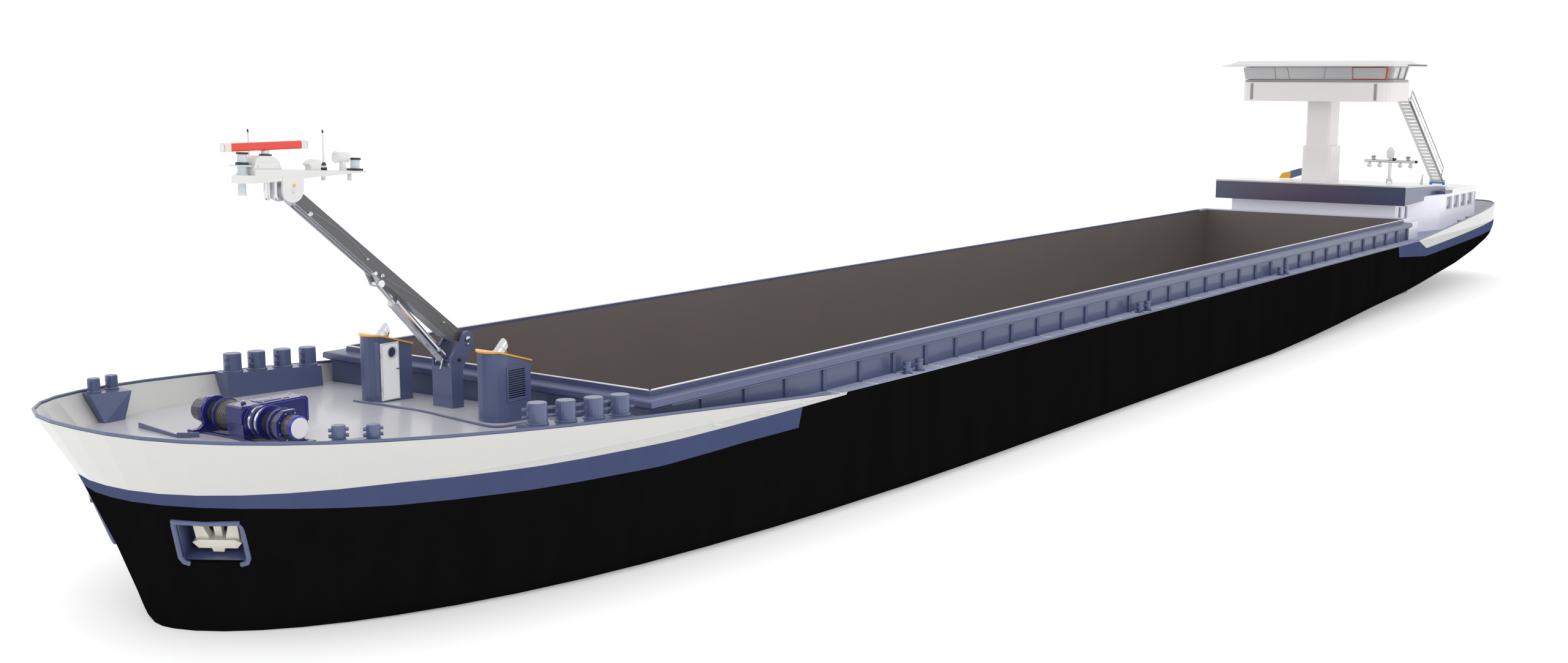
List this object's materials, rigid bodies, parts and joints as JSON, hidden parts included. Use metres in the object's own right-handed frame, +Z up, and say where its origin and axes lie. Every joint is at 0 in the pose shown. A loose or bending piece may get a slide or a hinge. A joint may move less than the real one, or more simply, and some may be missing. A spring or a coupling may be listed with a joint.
{
  "type": "river barge",
  "caption": "Motor dry-cargo barge for rivers, 1:2 scale, with one open hold, a folding bow mast and radar, and a lifting wheelhouse aft.",
  "frame": {"origin": "bottom centre of the bounding box, on the flat bottom under amidships", "axes": "+X to the bow, +Y to port, +Z up"},
  "size_m": [37.7276, 5.725, 5.4],
  "materials": {
    "hull_black": "gloss",
    "hold_brown": "matt, worn",
    "deck_blue": "gloss",
    "deck_grey": "gloss",
    "white": "gloss",
    "winch_navy": "gloss",
    "chrome": "polished",
    "yellow": "satin",
    "red": "satin",
    "cream": "satin",
    "dark": "satin",
    "bronze": "satin"
  },
  "bodies": {
    "barge": {"aft_mast_foot": "white", "anchor_frame_port": "deck_blue", "anchor_frame_starboard": "deck_blue", "anchor_port": "cream", "anchor_starboard": "cream", "bollards_port": "deck_blue", "bollards_starboard": "deck_blue", "bow_bollards_port": "deck_blue", "bow_bollards_starboard": "deck_blue", "bow_bulwark": "white", "bow_house_port": "deck_blue", "bow_house_starboard": "deck_blue", "bow_rail": "deck_blue", "crane_base": "deck_blue", "deckhouse": "white", "deckhouse_roof": "white", "foredeck": "deck_grey", "hatch_coaming": "deck_blue", "hold_plating": "hold_brown", "house_grille": "deck_blue", "house_pipe_port": "chrome", "house_pipe_starboard": "chrome", "house_rim_port": "yellow", "house_rim_starboard": "yellow", "hull": "hull_black", "mast_pedestal": "deck_blue", "nozzle": "hull_black", "stern_bulwark": "white", "stern_rail": "deck_blue", "winch_frame": "winch_navy"},
    "mast": {"mast_boom": "chrome"},
    "mast_barrel": {"mast_cylinder": "chrome"},
    "mast_rod": {"mast_rod": "chrome"},
    "mast_head": {"mast_head": "white", "mast_lantern_fore": "white", "mast_lantern_aft": "white"},
    "radar": {"radar_scanner": "red"},
    "winch": {"winch_shaft": "dark"},
    "house_door": {"house_door": "white"},
    "lift_sleeve": {"lift_sleeve": "white"},
    "wheelhouse": {"lift_column": "white", "wheelhouse_tray": "white", "wheelhouse_frame": "deck_grey", "wheelhouse_roof": "white", "wheelhouse_console": "dark"},
    "stairs": {"stairs": "white"},
    "aft_mast": {"aft_mast": "white"},
    "crane_post": {"crane_post": "deck_blue"},
    "crane_boom": {"crane_boom": "deck_blue"},
    "propeller": {"propeller": "bronze"},
    "rudder_port": {"rudder_port": "hull_black"},
    "rudder_starboard": {"rudder_starboard": "hull_black"}
  },
  "joints": [
    {"name": "mast_raise", "type": "hinge", "parent": "barge", "child": "mast", "pos_m": [14.33367, 0, 2.268], "axis": [0, -1, 0], "range_deg": [-34, 30]},
    {"name": "mast_head_level", "type": "hinge", "parent": "mast", "child": "mast_head", "pos_m": [16.50467, 0, 4.011], "axis": [0, -1, 0], "range_deg": [-31, 35]},
    {"name": "mast_barrel_swing", "type": "hinge", "parent": "barge", "child": "mast_barrel", "pos_m": [14.53618, 0, 2.045], "axis": [0, -1, 0], "range_deg": [-35, 31]},
    {"name": "mast_rod_slide", "type": "slide", "parent": "mast_barrel", "child": "mast_rod", "axis": [0.6894, 0, 0.7244], "range_m": [-0.174, 0.154]},
    {"name": "radar_turn", "type": "hinge", "parent": "mast_head", "child": "radar", "pos_m": [16.71917, 0, 4.44], "axis": [0, 0, 1], "continuous": true},
    {"name": "winch_turn", "type": "hinge", "parent": "barge", "child": "winch", "pos_m": [17.08618, 0, 1.8275], "axis": [0, 1, 0], "continuous": true},
    {"name": "house_door_swing", "type": "hinge", "parent": "barge", "child": "house_door", "pos_m": [14.79617, -0.73, 1.54], "axis": [0, 0, -1], "range_deg": [0, 100]},
    {"name": "lift_sleeve_slide", "type": "slide", "parent": "barge", "child": "lift_sleeve", "axis": [0, 0, 1], "range_m": [-0.775, 0]},
    {"name": "lift_column_slide", "type": "slide", "parent": "lift_sleeve", "child": "wheelhouse", "axis": [0, 0, 1], "range_m": [-1, 0]},
    {"name": "stairs_swing", "type": "hinge", "parent": "wheelhouse", "child": "stairs", "pos_m": [-13.73883, 1.6175, 4.5], "axis": [0, -1, 0], "range_deg": [-29.1, 0]},
    {"name": "aft_mast_fold", "type": "hinge", "parent": "barge", "child": "aft_mast", "pos_m": [-15.71383, 0.785, 2.5], "axis": [0, -1, 0], "range_deg": [0, 90]},
    {"name": "crane_slew", "type": "hinge", "parent": "barge", "child": "crane_post", "pos_m": [-15.11383, -0.45, 2.6], "axis": [0, 0, -1], "range_deg": [0, 100]},
    {"name": "crane_luff", "type": "hinge", "parent": "crane_post", "child": "crane_boom", "pos_m": [-15.11383, -0.45, 2.89], "axis": [-1, 0, 0], "range_deg": [0, 70]},
    {"name": "propeller_turn", "type": "hinge", "parent": "barge", "child": "propeller", "pos_m": [-16.26382, 0, 0.46], "axis": [1, 0, 0], "continuous": true},
    {"name": "rudder_port_turn", "type": "hinge", "parent": "barge", "child": "rudder_port", "pos_m": [-17.03883, 0.275, 0.75], "axis": [0, 0, 1], "range_deg": [-45, 45]},
    {"name": "rudder_starboard_turn", "type": "hinge", "parent": "barge", "child": "rudder_starboard", "pos_m": [-17.03883, -0.275, 0.75], "axis": [0, 0, 1], "range_deg": [-45, 45]}
  ],
  "couplings": [
    {"joint": "mast_head_level", "follows": "mast_raise", "ratio": -1},
    {"joint": "mast_barrel_swing", "follows": "mast_raise", "ratio": 0.99},
    {"joint": "mast_rod_slide", "follows": "mast_raise", "m_per_rad": 0.28934},
    {"joint": "lift_column_slide", "follows": "lift_sleeve_slide", "ratio": 1.29},
    {"joint": "stairs_swing", "follows": "lift_sleeve_slide", "rad_per_m": 0.6531},
    {"joint": "rudder_starboard_turn", "follows": "rudder_port_turn", "ratio": 1}
  ]
}
